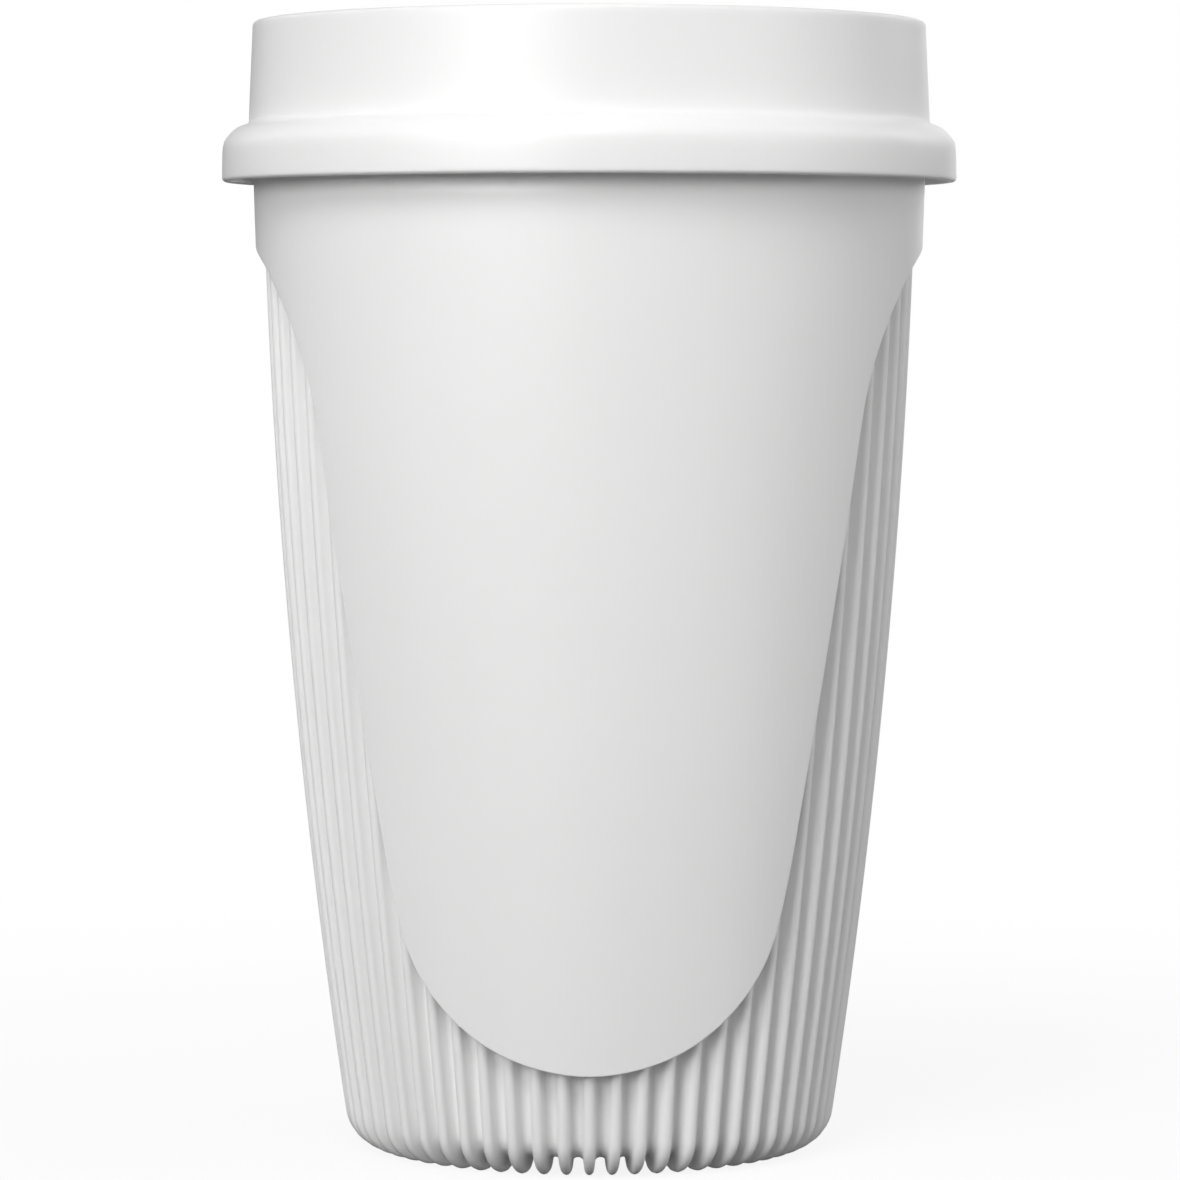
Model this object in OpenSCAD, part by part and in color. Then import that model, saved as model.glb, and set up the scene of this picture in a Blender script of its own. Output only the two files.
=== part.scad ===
// Ribbed takeaway cup with a lift-off lid.
// Units are millimetres. +Z is up, the origin is the middle of the base on the
// table, and the middle of the front panel faces -Y.
// The ribs, the two smooth panels, the band and the wall are one moulding. The ribs
// run down the wall, bend round the bottom corner and end as short feet.

/* [Cup] */
// Number of ribs round the cup
rib_count = 60; // [48:4:64]
// How far a rib stands out of the wall behind it
rib_height = 2.3; // [1.9:0.1:2.4]
// Width of a rib at its root
rib_width = 1.8; // [1.5:0.1:2.0]
// How far the band and the smooth panels stand out past the ribs
panel_lift = 1.2; // [0.9:0.1:1.4]
// Thickness of the wall between two ribs
wall_thickness = 1.4; // [1.2:0.1:1.8]
// Thickness of the floor over the underside recess
floor_thickness = 1.8; // [1.5:0.1:2.5]

/* [Lid] */
// Height of the whole cup with its lid on
total_height = 147.4; // [145:0.2:152]
// Thickness of the lid's upper wall
lid_wall = 1.5; // [1.3:0.1:1.8]
// How far the lid's flat deck lies below its top edge
deck_drop = 5; // [4:0.5:7]
// Length of the drinking hole
sip_length = 15; // [10:0.5:18]
// Width of the drinking hole
sip_width = 6; // [5:0.5:7]
// Diameter of the air hole
vent_diameter = 2; // [1.5:0.1:3]

/* [Hidden] */
$fn = 180;

white_cup = [0.93, 0.93, 0.92];
white_lid = [0.95, 0.95, 0.94];

// Radius over the ribs at height z: the wall opens fast near the base and less above.
function crest(z) = 31.5 + 0.152 * z - 0.0005 * z * z;

corner_r = 5.3;     // round of the ribs under the bottom corner
corner_x = 26.9;    // where that round starts, and where a foot touches the table
foot_x = 26.1;      // inner end of a foot
band_z = 118;       // lower edge of the band at the sides
rim_z = 131.2;      // top of the cup's rim
recess_z = 3.8;     // underside, inside the feet
floor_z = recess_z + floor_thickness;

// Heights at which the wall's profile has a point.
levels = [18, 32, 46, 60, 74, 88, 102, 115];

// Edge of a panel, half of it from the bottom up: sideways as seen from the front, and height.
panel_edge = [
    [0, 13.6], [5.1, 14.2], [9.4, 15.4], [13, 17.1], [15.8, 19.1], [18.5, 21.6], [20.8, 24.5],
    [22.3, 27.2], [23.5, 30.3], [24.6, 34.3], [25.5, 39], [26.7, 45.8], [27.9, 53], [29.2, 60.5],
    [30.3, 67.7], [31.5, 75.3], [32.8, 83.1], [33.8, 90.6], [34.5, 94.9], [35.2, 99.2], [36, 102.5],
    [37.1, 105.7], [38.2, 108.6], [39.4, 111], [40.5, 113.1], [41.6, 115], [42.6, 116.5]
];

// The same edge as turns round the axis from the middle of the front, and heights.
quarter = concat(
    [for (p = panel_edge) [asin(p[0] / (crest(p[1]) + 1.2)), p[1]]], [[83, 117.8], [90, band_z]]
);
last = len(quarter) - 1;
around = concat(
    quarter,
    [for (i = [last - 1 : -1 : 0]) [180 - quarter[i][0], quarter[i][1]]],
    [for (i = [1 : last]) [180 + quarter[i][0], quarter[i][1]]],
    [for (i = [last - 1 : -1 : 1]) [360 - quarter[i][0], quarter[i][1]]]
);

// Everything above the edge, all the way round: its lower side is cut square to the wall.
module above_edge() {
    n = len(around);
    function ring(r, z) = [for (p = around) [r * sin(p[0]), -r * cos(p[0]), z > 0 ? z : p[1]]];
    polyhedron(
        points = concat(ring(25, 0), ring(60, 0), ring(60, 140), ring(25, 140)),
        faces = [
            for (i = [0 : n - 1], q = [0 : 3], t = [0 : 1])
                let (a = q * n + i, b = q * n + (i + 1) % n, c = (q + 1) % 4 * n + (i + 1) % n, d = (q + 1) % 4 * n + i)
                t == 0 ? [a, c, b] : [a, d, c]
        ]
    );
}

// Wall, floor, rim and the inside of the cup: one turned profile.
module core() {
    groove_r = corner_r - rib_height;
    inner = rib_height + wall_thickness;
    inner_x = crest(floor_z + 3) - inner - 3;
    rotate_extrude()
        polygon(concat(
            [[0, recess_z], [19.4, recess_z], [21, corner_r - groove_r], [corner_x, corner_r - groove_r]],
            [for (a = [-80 : 10 : -10]) [corner_x + groove_r * cos(a), corner_r + groove_r * sin(a)]],
            [for (z = levels) [crest(z) - rib_height, z]],
            [[crest(127) - rib_height, 127], [crest(127) - rib_height + 1, 128.2], [45.4, 128.2], [46.1, 128.7],
             [46.3, 129.5], [46.1, 130.5], [45.4, rim_z], [42.2, rim_z], [41.3, 130.4]],
            [[crest(122) - inner + 1.4, 122], [crest(115) - inner, 115]],
            [for (i = [len(levels) - 2 : -1 : 0]) [crest(levels[i]) - inner, levels[i]]],
            [for (a = [0 : -15 : -90]) [inner_x + 3 * cos(a), floor_z + 3 + 3 * sin(a)]],
            [[0, floor_z]]
        ));
}

// Smooth skin of the band and the front and back panels.
module panels() {
    tops = concat([12], levels, [129.6]);
    n = len(tops);
    intersection() {
        rotate_extrude()
            polygon(concat(
                [for (z = tops) [crest(z) + panel_lift, z]],
                [for (i = [n - 1 : -1 : 0]) [crest(tops[i]) - rib_height - 0.6, tops[i]]]
            ));
        above_edge();
    }
}

// Section of a rib: distance from the crest, and sideways.
rib_half = [
    [-rib_height - 0.5, rib_width / 2 + 0.06], [-0.6, rib_width / 2 - 0.16], [0, rib_width / 2 - 0.54]
];
rib_section = concat([for (p = rib_half) [p[0], -p[1]]], [for (i = [2 : -1 : 0]) rib_half[i]]);

// A rib's crest from its foot to height top: distance out, height, and the way the crest faces.
function rib_path(top) = concat(
    [[foot_x, 0, -90]],
    [for (a = [-90 : 20 : -10]) [corner_x + corner_r * cos(a), corner_r + corner_r * sin(a), a]],
    [for (z = [20, 40, 65, 92, 120]) if (z <= top) [crest(z), z, -atan(0.152 - 0.001 * z)]]
);

// One rib, on the +X side.
module rib(top) {
    path = rib_path(top);
    n = len(path);
    m = len(rib_section);
    polyhedron(
        points = [for (s = path) for (p = rib_section) [s[0] + p[0] * cos(s[2]), p[1], s[1] + p[0] * sin(s[2])]],
        faces = concat(
            [[for (i = [0 : m - 1]) i]],
            [for (j = [0 : n - 2]) for (i = [0 : m - 1])
                [j * m + i, (j + 1) * m + i, (j + 1) * m + (i + 1) % m, j * m + (i + 1) % m]],
            [[for (i = [m - 1 : -1 : 0]) (n - 1) * m + i]]
        )
    );
}

// All ribs. Those that end under a panel stop just inside it.
module ribs() {
    for (i = [0 : rib_count - 1]) {
        turn = i * 360 / rib_count - 90;
        rotate([0, 0, turn])
            rib(abs(cos(turn)) < 0.59 ? 40 : 120);
    }
}

module cup_body() {
    color(white_cup)
        union() {
            core();
            panels();
            ribs();
        }
}

// The drinking hole's outline.
module sip_outline() {
    reach = (sip_length - sip_width) / 2;
    for (s = [-1, 1])
        translate([s * reach, 0])
            circle(d = sip_width);
    square([2 * reach, sip_width], center = true);
}

module lid() {
    top = total_height;
    deck = top - deck_drop;
    color(white_lid)
        difference() {
            rotate_extrude()
                polygon([
                    // skirt, from its inner edge out and up
                    [46.8, 127], [47, 126.6], [47.8, 126.6], [48, 126.7], [48.05, 127], [48, 130],
                    // shoulder
                    [47.9, 131.1], [47.6, 132.1], [47, 133.1], [46.2, 133.7], [45.1, 134.2], [44.7, 134.4],
                    // upper wall
                    [44.5, 135], [44.35, 139], [44, top - 0.9],
                    [43.9, top - 0.45], [43.7, top - 0.12], [43.4, top],
                    // down to the deck
                    [44 - lid_wall + 0.5, top], [44 - lid_wall + 0.1, top - 0.2], [44 - lid_wall, top - 0.6],
                    [43.9 - lid_wall, deck + 0.6], [43.3 - lid_wall, deck], [0, deck],
                    // hollow below the deck
                    [0, deck - 1.2], [42.7 - lid_wall, deck - 1.2], [43.9 - lid_wall, deck - 2.4],
                    [44.3 - lid_wall, 132], [44.3 - lid_wall, 131.3], [46.1, 131.3], [46.75, 130.6]
                ]);
            translate([0, -33, deck - 3])
                linear_extrude(height = 5)
                    sip_outline();
            translate([0, 24, deck - 3])
                cylinder(d = vent_diameter, h = 5);
        }
}

cup_body();
lid();
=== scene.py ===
import math

import bmesh
import bpy
import numpy as np
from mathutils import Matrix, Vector
from mathutils.geometry import tessellate_polygon


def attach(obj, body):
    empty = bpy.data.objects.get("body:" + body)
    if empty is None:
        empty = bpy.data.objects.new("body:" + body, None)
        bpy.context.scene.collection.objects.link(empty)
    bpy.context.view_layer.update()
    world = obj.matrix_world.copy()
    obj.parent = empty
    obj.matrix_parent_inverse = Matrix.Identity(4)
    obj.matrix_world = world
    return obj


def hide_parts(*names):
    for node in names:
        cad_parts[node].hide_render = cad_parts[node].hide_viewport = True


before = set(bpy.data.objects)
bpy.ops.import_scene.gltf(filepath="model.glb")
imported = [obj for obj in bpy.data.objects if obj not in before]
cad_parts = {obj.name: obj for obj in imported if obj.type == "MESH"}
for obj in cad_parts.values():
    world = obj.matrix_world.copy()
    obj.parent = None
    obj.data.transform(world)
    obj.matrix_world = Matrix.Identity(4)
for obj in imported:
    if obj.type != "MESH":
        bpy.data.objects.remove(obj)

scene = bpy.context.scene
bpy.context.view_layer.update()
MM = 0.001


# ---------------------------------------------------------------------------
# Shape of the cup. Radii and heights in millimetres, +Z up, front panel to -Y.
# ---------------------------------------------------------------------------
RIBS = 60
RIB_H = 2.3  # rib height over the groove floor
PANEL_LIFT = 1.2  # band and panels over the rib crests
CORNER_R = 5.3
CORNER_X = 26.93
RIM_Z = 131.2
RECESS_Z = 3.8
FLOOR_Z = 5.6
WALL = 3.7  # from a rib's crest to the inside of the cup


def crest(z):
    return 31.5 + 0.152 * z - 0.0005 * z * z


def outward(z):
    """Unit normal of the wall at height z, as (away from the axis, up)."""
    s = 0.152 - 0.001 * z
    n = math.hypot(1, s)
    return 1 / n, -s / n


def smooth(t):
    t = np.clip(t, 0, 1)
    return t * t * (3 - 2 * t)


def new_object(name, verts, faces, material):
    """A smooth-shaded mesh object from millimetre vertices."""
    mesh = bpy.data.meshes.new(name)
    mesh.from_pydata((np.asarray(verts, float) * MM).tolist(), [], faces)
    bm = bmesh.new()
    bm.from_mesh(mesh)
    bmesh.ops.recalc_face_normals(bm, faces=bm.faces)
    for f in bm.faces:
        f.smooth = True
    bm.to_mesh(mesh)
    bm.free()
    mesh.update()
    obj = bpy.data.objects.new(name, mesh)
    scene.collection.objects.link(obj)
    mesh.materials.append(material)
    return obj


def strip(first, second, n):
    """Quads between two closed rings of n vertices that start at these numbers."""
    return [(first + j, first + (j + 1) % n, second + (j + 1) % n, second + j) for j in range(n)]


# ---------------------------------------------------------------------------
# Materials
# ---------------------------------------------------------------------------
def plastic(name, colour, roughness, grain, seed):
    """Moulded satin plastic: slow tone changes, uneven gloss and a fine spark-eroded grain."""
    mat = bpy.data.materials.new(name)
    mat.use_nodes = True
    nt = mat.node_tree
    bsdf = nt.nodes["Principled BSDF"]
    bsdf.inputs["IOR"].default_value = 1.49
    bsdf.inputs["Specular IOR Level"].default_value = 0.5
    place = nt.nodes.new("ShaderNodeTexCoord")
    shift = nt.nodes.new("ShaderNodeMapping")
    shift.inputs["Location"].default_value = (seed * 0.37, seed * 0.91, seed * 0.13)
    nt.links.new(place.outputs["Object"], shift.inputs["Vector"])

    def noise(scale, detail, rough):
        n = nt.nodes.new("ShaderNodeTexNoise")
        n.inputs["Scale"].default_value = scale
        n.inputs["Detail"].default_value = detail
        n.inputs["Roughness"].default_value = rough
        nt.links.new(shift.outputs["Vector"], n.inputs["Vector"])
        return n

    tone = noise(22, 3, 0.5)
    ramp = nt.nodes.new("ShaderNodeValToRGB")
    ramp.color_ramp.elements[0].position = 0.3
    ramp.color_ramp.elements[0].color = (*[c * 0.985 for c in colour], 1)
    ramp.color_ramp.elements[1].position = 0.7
    ramp.color_ramp.elements[1].color = (*[min(1, c * 1.01) for c in colour], 1)
    nt.links.new(tone.outputs["Fac"], ramp.inputs["Fac"])
    nt.links.new(ramp.outputs["Color"], bsdf.inputs["Base Color"])

    gloss = noise(160, 4, 0.55)
    span = nt.nodes.new("ShaderNodeMapRange")
    span.inputs["From Min"].default_value = 0.3
    span.inputs["From Max"].default_value = 0.7
    span.inputs["To Min"].default_value = roughness - 0.035
    span.inputs["To Max"].default_value = roughness + 0.035
    nt.links.new(gloss.outputs["Fac"], span.inputs["Value"])
    nt.links.new(span.outputs["Result"], bsdf.inputs["Roughness"])

    fine = noise(3600, 2, 0.5)
    wave = noise(90, 2, 0.4)
    mix = nt.nodes.new("ShaderNodeMath")
    mix.operation = "MULTIPLY_ADD"
    mix.inputs[1].default_value = 3.0
    nt.links.new(wave.outputs["Fac"], mix.inputs[0])
    nt.links.new(fine.outputs["Fac"], mix.inputs[2])
    bump = nt.nodes.new("ShaderNodeBump")
    bump.inputs["Strength"].default_value = grain
    bump.inputs["Distance"].default_value = 0.00003
    nt.links.new(mix.outputs["Value"], bump.inputs["Height"])
    nt.links.new(bump.outputs["Normal"], bsdf.inputs["Normal"])
    return mat


cup_plastic = plastic("cup_satin_white", (0.862, 0.862, 0.86), 0.38, 0.3, 3)
lid_plastic = plastic("lid_satin_white", (0.868, 0.868, 0.866), 0.36, 0.22, 8)


# ---------------------------------------------------------------------------
# Cup wall: ribs, feet, rim, inside and underside as one closed skin
# ---------------------------------------------------------------------------
# Half a rib and half a groove. Rib: sideways and height in millimetres, a round crest on drafted
# flanks. Groove: share of the way from the rib's root to the groove's middle, and height of its cove.
TIP_R, ROOT, COVE = 0.72, 0.89, 0.36
draft = math.atan(0.11)
half = [(0.0, 0.0, RIB_H)]
for a in (30, 58, 90 - math.degrees(draft)):
    a = math.radians(a)
    half.append((TIP_R * math.sin(a), 0.0, RIB_H - TIP_R + TIP_R * math.cos(a)))
half += [(ROOT, 0.0, COVE), (ROOT, 0.34, COVE * 0.42), (ROOT, 0.68, COVE * 0.1)]
section = [(-y, -f, h) for y, f, h in reversed(half[1:])] + half + [(ROOT, 1.0, 0.0)]
per_rib = len(section)
side, share, lift = [np.tile(v, RIBS) for v in np.array(section, float).T]
lift = lift / RIB_H
turn = np.repeat(np.arange(RIBS) * 2 * math.pi / RIBS, per_rib)
COLS = len(side)


def wall_ring(groove, tip, width=1.0):
    """One ring of the skin: groove and tip are (radius, height) at the groove floor and at the rib's crest."""
    r = groove[0] + lift * (tip[0] - groove[0])
    z = groove[1] + lift * (tip[1] - groove[1])
    # towards the middle of the base and the floor the columns close up with the radius
    width = np.minimum(width, 0.55 * math.pi / RIBS * r / ROOT)
    a = np.arcsin(side * width / r)
    a = turn + a + share * (math.pi / RIBS - np.abs(a))
    return np.stack([r * np.sin(a), -r * np.cos(a), z], 1)


def plain(r, z):
    return wall_ring((r, z), (r, z))


def foot_width(r):
    """Ribs draw in a little towards their feet."""
    return 0.82 + 0.18 * float(smooth((r - 27.0) / 5.0))


rings = [
    plain(r, z)
    for r, z in [(8, RECESS_Z), (16, RECESS_Z), (19.2, RECESS_Z), (19.7, 3.68), (20.6, 2.48), (21.1, 2.3), (23.4, 2.3)]
]
# inner ends of the feet
for g, c in [
    ((24.5, 2.3), (24.5, 2.3)),
    ((24.8, 2.3), (24.7, 1.55)),
    ((25.1, 2.3), (25.0, 0.85)),
    ((25.6, 2.3), (25.45, 0.32)),
    ((26.2, 2.3), (26.1, 0.06)),
    ((CORNER_X, 2.3), (CORNER_X, 0)),
]:
    rings.append(wall_ring(g, c, foot_width(c[0])))
# round of the bottom corner
low = -math.degrees(math.atan(0.1475))
for a in np.linspace(-90, low, 11)[1:]:
    a = math.radians(a)
    g = (CORNER_X + (CORNER_R - RIB_H) * math.cos(a), CORNER_R + (CORNER_R - RIB_H) * math.sin(a))
    c = (CORNER_X + CORNER_R * math.cos(a), CORNER_R + CORNER_R * math.sin(a))
    rings.append(wall_ring(g, c, foot_width(c[0])))
# wall
for z in np.linspace(7, 121, 36):
    n = outward(z)
    c = (crest(z), z)
    rings.append(wall_ring((c[0] - RIB_H * n[0], c[1] - RIB_H * n[1]), c, 1.0))
# hidden under the band, then the rim's bead
rings += [plain(crest(122.5) - 1.2, 122.5), plain(42.6, 126.2)]
rings += [plain(r, z) for r, z in [(43.2, 127), (43.75, 127.35), (44.05, 127.75), (44.4, 128.05)]]
for a in range(-90, 91, 15):
    a = math.radians(a)
    rings.append(plain(44.8 + 1.5 * math.cos(a), 129.7 + 1.5 * math.sin(a)))
rings += [
    plain(r, z)
    for r, z in [(44.3, RIM_Z), (42.9, RIM_Z), (42.4, 131.16), (41.95, 130.98), (41.6, 130.62), (41.42, 130.1), (41.3, 129.3)]
]
# inside
rings += [plain(r, z) for r, z in [(41.0, 127), (40.45, 123), (39.75, 119.5), (39.1, 117)]]
for z in [114.5, 108, 99, 90, 80, 70, 60, 50, 40, 30, 20, 13]:
    rings.append(plain(crest(z) - WALL, z))
inner_x = crest(FLOOR_Z + 3) - WALL - 3
for a in range(0, -91, -15):
    a = math.radians(a)
    rings.append(plain(inner_x + 3 * math.cos(a), FLOOR_Z + 3 + 3 * math.sin(a)))
rings += [plain(24.5, FLOOR_Z), plain(14, FLOOR_Z), plain(5, FLOOR_Z)]

verts = [np.array([[0, 0, RECESS_Z]])] + rings + [np.array([[0, 0, FLOOR_Z]])]
faces = [(0, 1 + (j + 1) % COLS, 1 + j) for j in range(COLS)]
for i in range(len(rings) - 1):
    faces += strip(1 + i * COLS, 1 + (i + 1) * COLS, COLS)
last = 1 + (len(rings) - 1) * COLS
faces += [(last + j, last + (j + 1) % COLS, last + COLS) for j in range(COLS)]
cup_wall = new_object("cup_ribbed_wall", np.concatenate(verts), faces, cup_plastic)


# ---------------------------------------------------------------------------
# Band and the two smooth panels: one closed skin whose lower edge follows the U
# ---------------------------------------------------------------------------
# A quarter of the edge: degrees round from the middle of the front, and height.
EDGE = [
    (0, 13.6), (8.37, 14.15), (15.7, 15.4), (21.74, 17.1), (26.5, 19.05), (31.2, 21.6), (35.1, 24.5), (37.75, 27.2),
    (39.7, 30.3), (41.15, 34.3), (42.35, 38.95), (43.75, 45.8), (45.2, 53), (46.75, 60.5), (48.2, 67.7), (49.75, 75.3),
    (51.45, 83.1), (53, 90.6), (54, 94.9), (55.25, 99.2), (56.9, 102.5), (59.2, 105.7), (62, 108.6), (65.1, 111),
    (68.6, 113.1), (72.8, 115.05), (77.6, 116.55), (83, 117.6), (90, 118.1),
]
PER_QUARTER = 150


def spline(ts, vs, t):
    """Natural cubic through (ts, vs) with level ends where mirrored, read at t."""
    n = len(ts)
    h = np.diff(ts)
    a = np.zeros((n, n))
    b = np.zeros(n)
    a[0, 0] = a[-1, -1] = 1
    for i in range(1, n - 1):
        a[i, i - 1], a[i, i], a[i, i + 1] = h[i - 1], 2 * (h[i - 1] + h[i]), h[i]
        b[i] = 6 * ((vs[i + 1] - vs[i]) / h[i] - (vs[i] - vs[i - 1]) / h[i - 1])
    m = np.linalg.solve(a, b)
    i = np.clip(np.searchsorted(ts, t) - 1, 0, n - 2)
    u = (t - ts[i]) / h[i]
    w = 1 - u
    return w * vs[i] + u * vs[i + 1] + h[i] ** 2 / 6 * ((w**3 - w) * m[i] + (u**3 - u) * m[i + 1])


def edge_curve():
    """The quarter edge at even steps, smoothed: turns in radians and heights, both ends included."""
    e = np.array(EDGE, float)
    e = np.concatenate([e[3:0:-1] * [-1, 1], e, [[180 - p[0], p[1]] for p in EDGE[-2:-5:-1]]])
    for step in range(2):
        r = crest(e[:, 1]) + PANEL_LIFT
        d = np.hypot(np.diff(np.radians(e[:, 0])) * (r[1:] + r[:-1]) / 2, np.diff(e[:, 1]))
        s = np.concatenate([[0], np.cumsum(d)])
        t = np.linspace(0, s[-1], 1600)
        e = np.stack([spline(s, e[:, 0], t), spline(s, e[:, 1], t)], 1)
        if step == 0:
            k = np.exp(-((np.arange(-40, 41) / 8.0) ** 2) / 2)
            k /= k.sum()
            pad = np.pad(e, ((40, 40), (0, 0)), mode="reflect", reflect_type="odd")
            e = np.stack([np.convolve(pad[:, i], k, mode="valid") for i in (0, 1)], 1)
            e = e[::20]
    a, b = np.interp([0, 90], e[:, 0], np.arange(len(e)))
    at = np.linspace(a, b, PER_QUARTER + 1)
    n = np.arange(len(e))
    return np.radians(np.interp(at, n, e[:, 0])), np.interp(at, n, e[:, 1])


qa, qz = edge_curve()
qa[0], qa[-1] = 0, math.pi / 2
edge_a = np.concatenate([qa[:-1], (math.pi - qa[::-1])[:-1], (math.pi + qa)[:-1], (2 * math.pi - qa[::-1])[:-1]])
edge_z = np.concatenate([qz[:-1], qz[::-1][:-1], qz[:-1], qz[::-1][:-1]])
N = len(edge_a)
edge_r = crest(edge_z) + PANEL_LIFT

step_a = np.roll(edge_a, -1) - np.roll(edge_a, 1)
step_a = (step_a + math.pi) % (2 * math.pi) - math.pi
tu, tv = step_a * edge_r, np.roll(edge_z, -1) - np.roll(edge_z, 1)
tl = np.hypot(tu, tv)
nu, nv = tv / tl, -tu / tl  # away from the panel, in the surface: sideways and up

around = np.abs(((np.degrees(edge_a) + 90) % 180) - 90)  # 0 at a panel's middle, 90 at the sides
lean = 0.05 + 2.2 * smooth((around - 56) / 34) ** 2  # run of the edge's wall for each mm it drops
round_r = 0.13 + 1.4 * smooth((around - 58) / 32)
fall = np.arctan2(1, lean)  # turn from the panel's face to the edge's wall
tangent = round_r * np.tan(fall / 2)


def on_panel(d, depth):
    """Vertices at distance d out from the edge, along the surface, and depth below the panel's face."""
    z = edge_z + d * nv
    r = crest(z) + PANEL_LIFT
    a = edge_a + d * nu / r
    s = 0.152 - 0.001 * z
    n = np.hypot(1, s)
    return a, r - depth / n, z + depth * s / n


def ring_of(a, r, z):
    return np.stack([r * np.sin(a), -r * np.cos(a), z + 0 * a], 1)


TOP = 129.3
rows = []
fa, fr, fz = on_panel(-tangent - 0.18, 0 * tangent)
for t in np.linspace(0, 1, 20)[:-1]:
    t = 1 - (1 - t) ** 0.9
    z = TOP + (fz - TOP) * t
    rows.append(ring_of(fa, crest(z) + PANEL_LIFT, z))
rows.append(ring_of(fa, fr, fz))
rows.append(ring_of(*on_panel(-tangent, 0 * tangent)))
for s in (0.2, 0.4, 0.6, 0.8, 1.0):
    g = fall * s
    rows.append(ring_of(*on_panel(-tangent + round_r * np.sin(g), round_r * (1 - np.cos(g)))))
end_d = -tangent + round_r * np.sin(fall)
end_h = round_r * (1 - np.cos(fall))
for more in (0.15, 1.2, 3.8):
    h = np.maximum(end_h + 0.02, more) if more < 3.8 else 3.8 + 0 * end_h
    h = np.maximum(h, end_h + 0.1 * more)
    rows.append(ring_of(*on_panel(end_d + (h - end_h) * lean, h)))
ba, br, bz = on_panel(end_d + (3.8 - end_h) * lean, 3.8 + 0 * end_h)
for t in (0.12, 0.4, 0.7, 1.0):
    z = bz + (TOP - bz) * t
    a = ba + (fa - ba) * min(1, t * 2.5)
    back = 3.85 - 1.85 * smooth((z - 104) / 15)
    rows.append(ring_of(a, crest(z) + PANEL_LIFT - back, z))
verts = np.concatenate(rows)
faces = []
for i in range(len(rows)):
    faces += strip(i * N, ((i + 1) % len(rows)) * N, N)
cup_panels = new_object("cup_band_and_panels", verts, faces, cup_plastic)


# ---------------------------------------------------------------------------
# Lid
# ---------------------------------------------------------------------------
LID_TOP = 147.4
DECK = 142.4
DECK_T = 1.2
LID_COLS = 360
SIP = (0.0, -33.0, 15.0, 6.0)
VENT = (0.0, 24.0, 2.0)


def arc(cx, cz, r, start, stop, n):
    return [
        (cx + r * math.cos(math.radians(a)), cz + r * math.sin(math.radians(a))) for a in np.linspace(start, stop, n)
    ]


outside = (
    # skirt: rounded lower edge, then its face
    arc(47.15, 126.9, 0.3, -170, -100, 4)
    + arc(47.55, 127.09, 0.49, -82, -5, 7)
    + [(48.045, 127.4), (48.04, 128.2), (48.03, 129.1), (48.01, 129.9)]
    # shoulder: a full round from the skirt, meeting the wall in a tight corner
    + [(47.98, 130.6), (47.91, 131.2), (47.78, 131.72), (47.52, 132.18), (47.15, 132.66), (46.74, 133.1), (46.32, 133.44)]
    + [(45.88, 133.69), (45.4, 133.88), (45.0, 134.02), (44.76, 134.12), (44.64, 134.24), (44.56, 134.42), (44.53, 134.7)]
    # wall
    + [(44.51, 135.2), (44.47, 136.2), (44.36, 138.8), (44.24, 141.4), (44.12, 144.0), (44.02, 146.2)]
    + arc(43.4, 146.8, 0.6, 5, 85, 6)
    # over the top edge and down inside
    + [(43.1, LID_TOP)]
    + arc(42.95, 146.95, 0.45, 95, 178, 5)
    + [(42.48, 146.2), (42.44, 144.6), (42.4, 143.4)]
    + arc(41.75, 143.05, 0.65, -5, -85, 6)
    + [(41.4, DECK), (40.6, DECK)]
)
under = [
    (40.2, DECK - DECK_T), (41.0, DECK - DECK_T), (41.6, 141.05), (42.1, 140.6), (42.35, 140.1), (42.45, 139.4),
    (42.6, 137), (42.75, 134), (42.8, 132), (42.82, 131.5), (42.95, 131.32), (43.3, 131.3), (45.7, 131.3),
    (46.1, 131.28), (46.5, 131.05), (46.72, 130.7), (46.8, 130.1), (46.82, 128.5), (46.83, 127.3),
]
la = np.arange(LID_COLS) * 2 * math.pi / LID_COLS


def lid_ring(r, z):
    return np.stack([r * np.sin(la), -r * np.cos(la), np.full(LID_COLS, z)], 1)


# loop runs from the deck's flat, out over the top, down the skirt, in and up to the deck's underside
loop = outside[::-1] + under[::-1]
lid_verts = [lid_ring(r, z) for r, z in loop]
lid_faces = []
for i in range(len(loop) - 1):
    lid_faces += strip(i * LID_COLS, (i + 1) * LID_COLS, LID_COLS)
count = len(loop) * LID_COLS
lid_verts = list(np.concatenate(lid_verts))


def stadium(cx, cy, length, width, grow, n):
    """Points round a slot of that length and width, grown by so much."""
    r = width / 2 + grow
    reach = (length - width) / 2
    pts = []
    for sx, start in ((1, -90), (-1, 90)):
        for k in range(n + 1):
            a = math.radians(start + 180 * k / n)
            pts.append((cx + sx * reach + r * math.cos(a), cy + r * math.sin(a)))
    return pts


def round_hole(cx, cy, d, grow, n):
    r = d / 2 + grow
    return [(cx + r * math.cos(2 * math.pi * k / n), cy + r * math.sin(2 * math.pi * k / n)) for k in range(n)]


holes_top, holes_low = [], []
for make in (lambda g: stadium(*SIP, g, 20), lambda g: round_hole(*VENT, g, 32)):
    big = make(0.5)
    soft = 0.45 if len(big) > 33 else 0.25
    steps = [(soft, DECK)]
    for a in (22, 45, 68, 90):
        a = math.radians(a)
        steps.append((soft * (1 - math.sin(a)), DECK - soft * (1 - math.cos(a))))
    steps += [(0.0, DECK - DECK_T + 0.2), (0.06, DECK - DECK_T + 0.06), (0.2, DECK - DECK_T)]
    first = len(lid_verts)
    n = len(make(0))
    for g, z in steps:
        lid_verts += [(x, y, z) for x, y in make(g)]
    for i in range(len(steps) - 1):
        lid_faces += strip(first + i * n, first + (i + 1) * n, n)
    holes_top.append(list(range(first, first + n)))
    holes_low.append(list(range(first + (len(steps) - 1) * n, first + len(steps) * n)))


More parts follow.
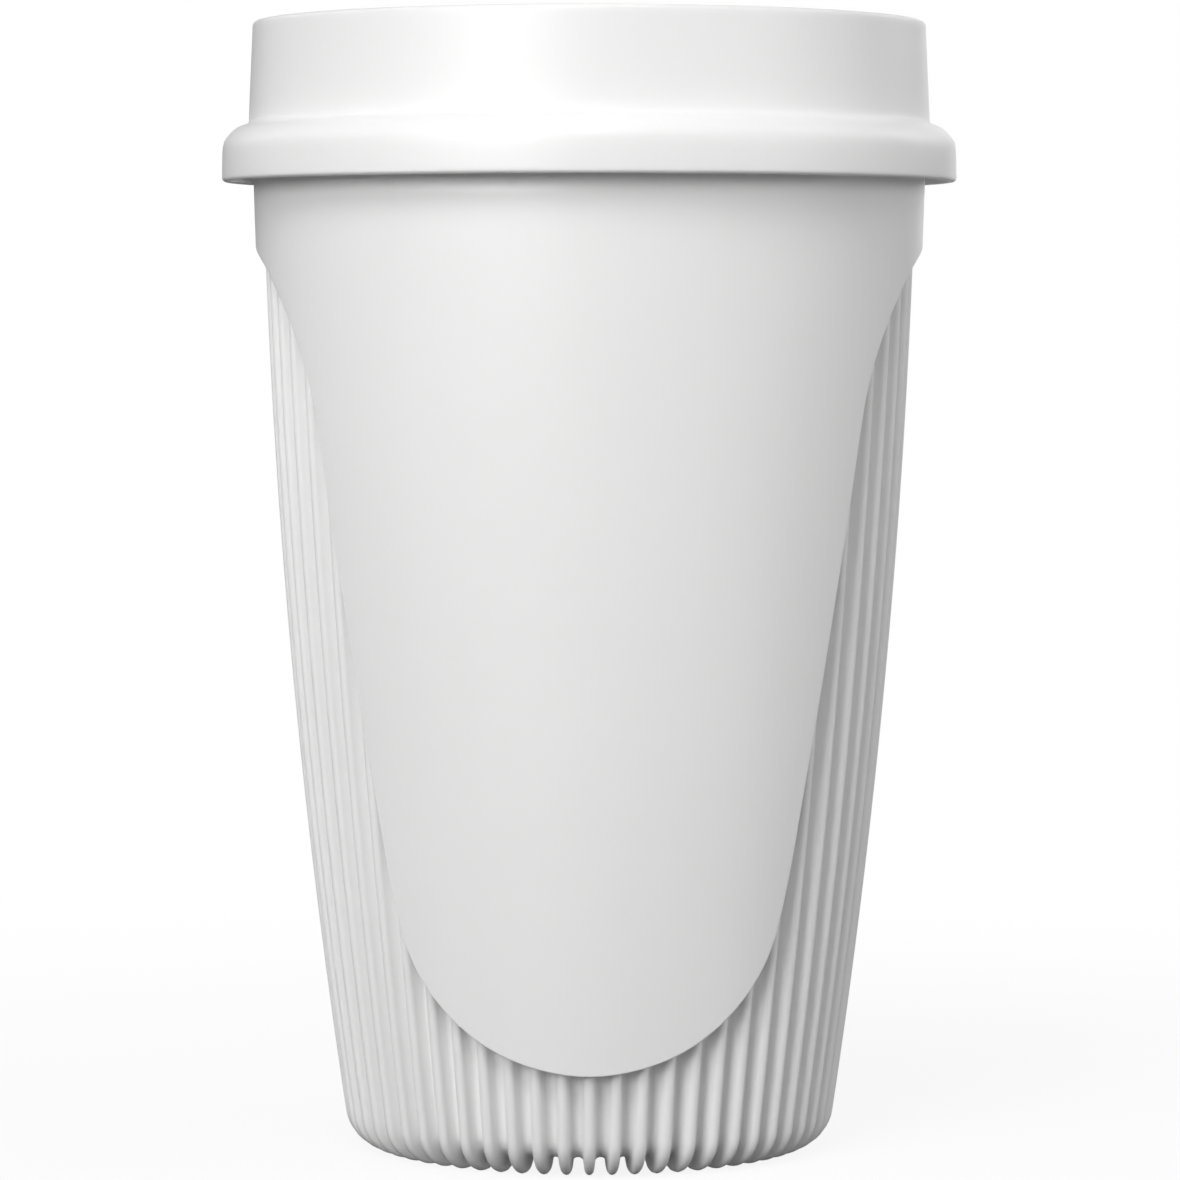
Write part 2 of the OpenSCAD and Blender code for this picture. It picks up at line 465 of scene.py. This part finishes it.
def fill(outer, holes):
    """Triangles of a flat face with holes, from vertex numbers."""
    loops = [outer] + holes
    flat = [i for ring in loops for i in ring]
    tris = tessellate_polygon([[Vector((lid_verts[i][0], lid_verts[i][1], 0)) for i in ring] for ring in loops])
    return [tuple(flat[k] for k in t) for t in tris]


lid_faces += fill(list(range(LID_COLS)), holes_top)
lid_faces += fill(list(range((len(loop) - 1) * LID_COLS, len(loop) * LID_COLS)), holes_low)
lid = new_object("lid_shell", np.array(lid_verts), lid_faces, lid_plastic)

for piece in (cup_wall, cup_panels):
    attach(piece, "cup")
    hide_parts("cup_body")
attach(lid, "lid")
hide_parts("lid")


# ---------------------------------------------------------------------------
# Stage, lights and camera
# ---------------------------------------------------------------------------
def stage_surface(name, verts, faces, shade):
    mesh = bpy.data.meshes.new(name)
    mesh.from_pydata(verts, [], faces)
    obj = bpy.data.objects.new(name, mesh)
    scene.collection.objects.link(obj)
    mesh.materials.append(shade)
    return obj


def paper(name, soft_shadow):
    """Seamless white paper. Close to the object it takes a soft shadow; further out it is evenly lit."""
    mat = bpy.data.materials.new(name)
    mat.use_nodes = True
    nt = mat.node_tree
    nt.nodes.clear()
    out = nt.nodes.new("ShaderNodeOutputMaterial")
    glow = nt.nodes.new("ShaderNodeEmission")
    glow.inputs["Color"].default_value = (1, 1, 1, 1)
    glow.inputs["Strength"].default_value = 1.0
    if not soft_shadow:
        nt.links.new(glow.outputs[0], out.inputs["Surface"])
        return mat
    sheet = nt.nodes.new("ShaderNodeBsdfDiffuse")
    sheet.inputs["Color"].default_value = (0.93, 0.93, 0.93, 1)
    place = nt.nodes.new("ShaderNodeTexCoord")
    dist = nt.nodes.new("ShaderNodeVectorMath")
    dist.operation = "LENGTH"
    nt.links.new(place.outputs["Object"], dist.inputs[0])
    near = nt.nodes.new("ShaderNodeMapRange")
    near.interpolation_type = "SMOOTHSTEP"
    near.inputs["From Min"].default_value = 0.05
    near.inputs["From Max"].default_value = 0.3
    near.inputs["To Min"].default_value = soft_shadow
    near.inputs["To Max"].default_value = 0.0
    nt.links.new(dist.outputs["Value"], near.inputs["Value"])
    mix = nt.nodes.new("ShaderNodeMixShader")
    nt.links.new(near.outputs["Result"], mix.inputs["Fac"])
    nt.links.new(glow.outputs[0], mix.inputs[1])
    nt.links.new(sheet.outputs[0], mix.inputs[2])
    nt.links.new(mix.outputs[0], out.inputs["Surface"])
    return mat


def only_seen(obj):
    """The object shows to the camera and lights nothing."""
    obj.visible_diffuse = obj.visible_glossy = obj.visible_transmission = obj.visible_shadow = False


floor = stage_surface(
    "floor", [(-4, -4, 0), (4, -4, 0), (4, 4, 0), (-4, 4, 0)], [(0, 1, 2, 3)], paper("paper_floor", 0.12)
)
only_seen(floor)
sky_v, sky_f = [], []
for i in range(13):
    e = math.pi * (i / 12 - 0.5)
    for j in range(24):
        a = 2 * math.pi * j / 24
        sky_v.append((4.5 * math.cos(e) * math.cos(a), 4.5 * math.cos(e) * math.sin(a), 4.5 * math.sin(e)))
for i in range(12):
    sky_f += [(i * 24 + j, i * 24 + (j + 1) % 24, (i + 1) * 24 + (j + 1) % 24, (i + 1) * 24 + j) for j in range(24)]
backdrop = stage_surface("backdrop", sky_v, sky_f, paper("paper_backdrop", 0))
only_seen(backdrop)

AIM = Vector((0, 0, 0.078))
# name: turn from the front (+ is to the camera's right), height angle, distance, width, height, watts
LIGHTS = {
    "key_low": (-25, 17, 1.15, 0.45, 0.45, 4.45),
    "key_under": (-20, -22, 1.15, 0.45, 0.45, 0.28),
    "key_high": (-25, 45, 1.15, 0.45, 0.45, 2.35),
    "front_high": (-8, 45, 1.15, 0.45, 0.45, 2.0),
    "left_low": (-45, 17, 1.15, 0.45, 0.45, 2.05),
    "left_high": (-45, 45, 1.15, 0.45, 0.45, 0.95),
    "right_front": (45, 17, 1.15, 0.45, 0.45, 0.84),
    "right_low": (65, 17, 1.15, 0.45, 0.45, 1.5),
    "right_under": (55, -22, 1.15, 0.45, 0.45, 0.72),
    "side_right": (90, 17, 1.15, 0.45, 0.45, 0.88),
    "side_high": (90, 45, 1.15, 0.45, 0.45, 1.0),
    "top": (0, 89, 1.1, 0.7, 0.7, 0.3),
    "back_right": (130, 20, 1.15, 0.5, 0.5, 1.35),
    "rim_right": (166, 10, 1.15, 0.6, 0.6, 1.4),
    "back_left": (-130, 20, 1.15, 0.5, 0.5, 0.47),
}
for name, (az, el, dist, w, h, watts) in LIGHTS.items():
    data = bpy.data.lights.new(name, "AREA")
    data.shape = "RECTANGLE"
    data.size, data.size_y = w, h
    data.energy = watts
    lamp = bpy.data.objects.new(name, data)
    a, e = math.radians(az), math.radians(el)
    lamp.location = AIM + Vector((math.sin(a) * math.cos(e), -math.cos(a) * math.cos(e), math.sin(e))) * dist
    lamp.rotation_euler = (AIM - lamp.location).to_track_quat("-Z", "Y").to_euler()
    lamp.visible_camera = False
    scene.collection.objects.link(lamp)

world = bpy.data.worlds.new("studio")
scene.world = world
world.use_nodes = True
# even light all round, a little more from just below the horizon and almost none from straight below
wt = world.node_tree
way = wt.nodes.new("ShaderNodeTexCoord")
split = wt.nodes.new("ShaderNodeSeparateXYZ")
rise = wt.nodes.new("ShaderNodeMapRange")
rise.inputs["From Min"].default_value = -1
rise.inputs["From Max"].default_value = 1
level = wt.nodes.new("ShaderNodeValToRGB")
level.color_ramp.interpolation = "EASE"
for i, (at, v) in enumerate([(0, 0.0), (0.2, 0.04), (0.38, 0.28), (0.47, 0.23), (0.6, 0.19)]):
    if i > 1:
        level.color_ramp.elements.new(at)
    level.color_ramp.elements[i].position = at
    level.color_ramp.elements[i].color = (v, v, v, 1)
wt.links.new(way.outputs["Generated"], split.inputs["Vector"])
wt.links.new(split.outputs["Z"], rise.inputs["Value"])
wt.links.new(rise.outputs["Result"], level.inputs["Fac"])
wt.links.new(level.outputs["Color"], wt.nodes["Background"].inputs["Strength"])
wt.nodes["Background"].inputs["Color"].default_value = (1, 1, 1, 1)

scene.view_settings.view_transform = "Standard"
scene.view_settings.look = "None"

cam_data = bpy.data.cameras.new("camera")
cam_data.sensor_fit = "HORIZONTAL"
cam_data.sensor_width = 36
cam_data.lens = 157.66
cam_data.shift_x = 0.0006
cam_data.clip_start = 0.05
cam_data.clip_end = 20
cam = bpy.data.objects.new("camera", cam_data)
cam.location = (0, -0.67968, 0.109877)
cam.rotation_euler = (math.radians(86.9), 0, 0)
scene.collection.objects.link(cam)
scene.camera = cam

bpy.context.view_layer.update()
